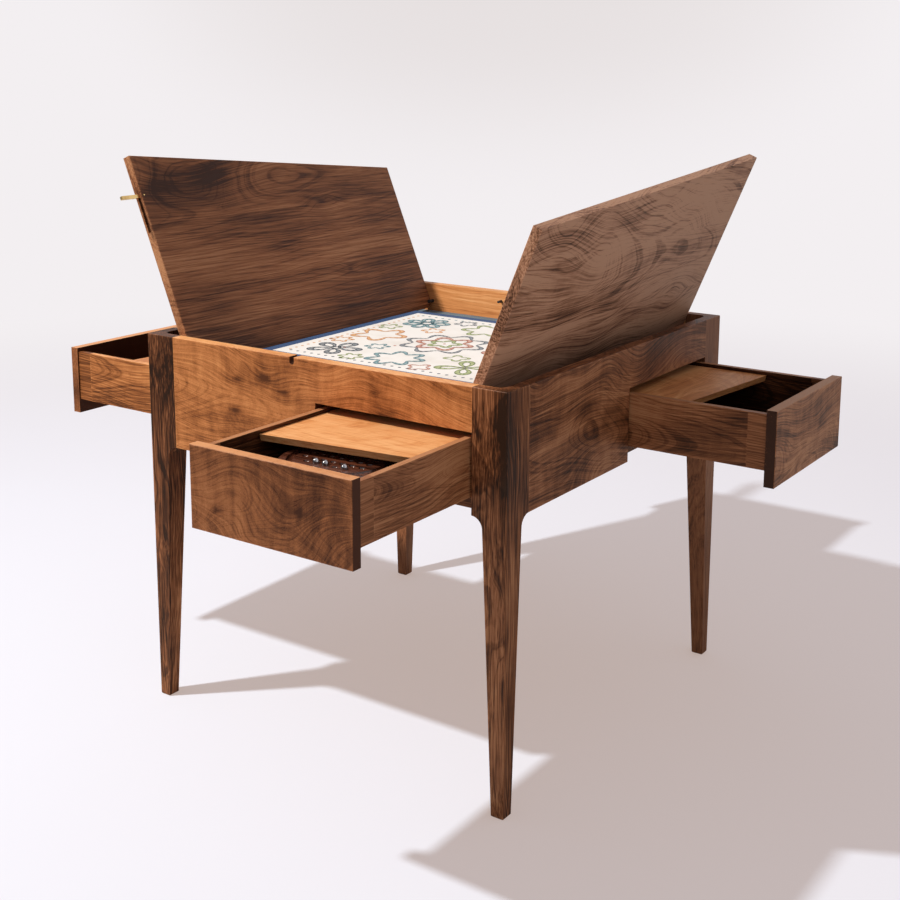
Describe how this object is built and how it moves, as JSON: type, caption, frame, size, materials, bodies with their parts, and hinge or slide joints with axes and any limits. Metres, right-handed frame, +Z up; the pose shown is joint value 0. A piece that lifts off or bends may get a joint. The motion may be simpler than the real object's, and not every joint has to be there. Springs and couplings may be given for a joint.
{
  "type": "games table",
  "caption": "Square wooden games table with a sunken board under two skewed half lids that pivot open, and drawers set as a pinwheel, each with a sliding cover.",
  "frame": {"origin": "on the floor at the middle of the four legs", "axes": "+Z up, -Y to the front with the notched apron, +X to the right seen from the front"},
  "size_m": [1.45, 1.435, 1.1044],
  "materials": {
    "frame_walnut": "oiled",
    "lid_walnut": "oiled",
    "drawer_face_walnut": "oiled",
    "cover_walnut": "oiled",
    "drawer_box_walnut": "oiled",
    "inner_wood": "raw",
    "brass": "polished",
    "black_rubber": "matte",
    "blue_lining": "felt",
    "navy_board": "matte",
    "printed_sheet": "printed",
    "steel": "zinc plated",
    "steel_marbles": "polished",
    "solitaire_rosewood": "waxed"
  },
  "bodies": {
    "table": {"apron_back": "frame_walnut", "apron_dowels": "inner_wood", "apron_front": "frame_walnut", "apron_left": "frame_walnut", "apron_right": "frame_walnut", "board_print": "printed_sheet", "carcass_floor": "inner_wood", "drawer_divider_crosswise": "inner_wood", "drawer_divider_lengthwise": "inner_wood", "drawer_runners": "inner_wood", "drawer_stop_rails": "inner_wood", "floor_screws": "steel", "leg_back_left": "frame_walnut", "leg_back_right": "frame_walnut", "leg_front_left": "frame_walnut", "leg_front_right": "frame_walnut", "lid_pivot_bushes": "brass", "lid_rest_pegs": "brass", "lid_stop_pegs": "black_rubber", "playing_board": "navy_board", "well_floor": "inner_wood", "well_floor_bearers": "inner_wood", "well_lining": "blue_lining"},
    "left_lid": {"left_lid": "lid_walnut", "left_lid_pins": "brass"},
    "right_lid": {"right_lid": "lid_walnut", "right_lid_pins": "brass"},
    "left_lid_pull": {"left_lid_pull": "brass"},
    "right_lid_pull": {"right_lid_pull": "brass"},
    "front_drawer": {"front_drawer_back": "drawer_box_walnut", "front_drawer_bottom": "drawer_box_walnut", "front_drawer_corner_cleats": "drawer_box_walnut", "front_drawer_face": "drawer_face_walnut", "front_drawer_left_side": "drawer_box_walnut", "front_drawer_right_side": "drawer_box_walnut", "solitaire_board": "solitaire_rosewood", "solitaire_board_feet": "solitaire_rosewood", "solitaire_marbles": "steel_marbles"},
    "front_cover": {"front_drawer_cover": "cover_walnut"},
    "right_drawer": {"right_drawer_back": "drawer_box_walnut", "right_drawer_bottom": "drawer_box_walnut", "right_drawer_corner_cleats": "drawer_box_walnut", "right_drawer_face": "drawer_face_walnut", "right_drawer_left_side": "drawer_box_walnut", "right_drawer_right_side": "drawer_box_walnut"},
    "right_cover": {"right_drawer_cover": "cover_walnut"},
    "back_drawer": {"back_drawer_back": "drawer_box_walnut", "back_drawer_bottom": "drawer_box_walnut", "back_drawer_corner_cleats": "drawer_box_walnut", "back_drawer_face": "drawer_face_walnut", "back_drawer_left_side": "drawer_box_walnut", "back_drawer_right_side": "drawer_box_walnut"},
    "back_cover": {"back_drawer_cover": "cover_walnut"},
    "left_drawer": {"left_drawer_back": "drawer_box_walnut", "left_drawer_bottom": "drawer_box_walnut", "left_drawer_corner_cleats": "drawer_box_walnut", "left_drawer_face": "drawer_face_walnut", "left_drawer_left_side": "drawer_box_walnut", "left_drawer_right_side": "drawer_box_walnut"},
    "left_cover": {"left_drawer_cover": "cover_walnut"}
  },
  "joints": [
    {"name": "left_lid_hinge", "type": "hinge", "parent": "table", "child": "left_lid", "pos_m": [-0.342, 0, 0.7505], "axis": [0, 1, 0], "range_deg": [0, 112.5]},
    {"name": "right_lid_hinge", "type": "hinge", "parent": "table", "child": "right_lid", "pos_m": [0.342, 0, 0.7505], "axis": [0, -1, 0], "range_deg": [0, 112.5]},
    {"name": "left_lid_pull_hinge", "type": "hinge", "parent": "left_lid", "child": "left_lid_pull", "pos_m": [-0.45585, -0.3895, 1.02535], "axis": [-0.9239, 0, -0.3827], "range_deg": [-90, 0]},
    {"name": "right_lid_pull_hinge", "type": "hinge", "parent": "right_lid", "child": "right_lid_pull", "pos_m": [0.45585, 0.3895, 1.02535], "axis": [0.9239, 0, -0.3827], "range_deg": [0, 90]},
    {"name": "front_drawer_slide", "type": "slide", "parent": "table", "child": "front_drawer", "axis": [0, -1, 0], "range_m": [-0.315, 0.0195]},
    {"name": "right_drawer_slide", "type": "slide", "parent": "table", "child": "right_drawer", "axis": [1, 0, 0], "range_m": [-0.292, 0.0425]},
    {"name": "back_drawer_slide", "type": "slide", "parent": "table", "child": "back_drawer", "axis": [0, 1, 0], "range_m": [-0.28, 0.0545]},
    {"name": "left_drawer_slide", "type": "slide", "parent": "table", "child": "left_drawer", "axis": [-1, 0, 0], "range_m": [-0.318, 0.0165]},
    {"name": "front_cover_slide", "type": "slide", "parent": "front_drawer", "child": "front_cover", "axis": [0, -1, 0], "range_m": [0, 0.128]},
    {"name": "right_cover_slide", "type": "slide", "parent": "right_drawer", "child": "right_cover", "axis": [1, 0, 0], "range_m": [0, 0.128]},
    {"name": "back_cover_slide", "type": "slide", "parent": "back_drawer", "child": "back_cover", "axis": [0, 1, 0], "range_m": [0, 0.128]},
    {"name": "left_cover_slide", "type": "slide", "parent": "left_drawer", "child": "left_cover", "axis": [-1, 0, 0], "range_m": [0, 0.128]}
  ]
}
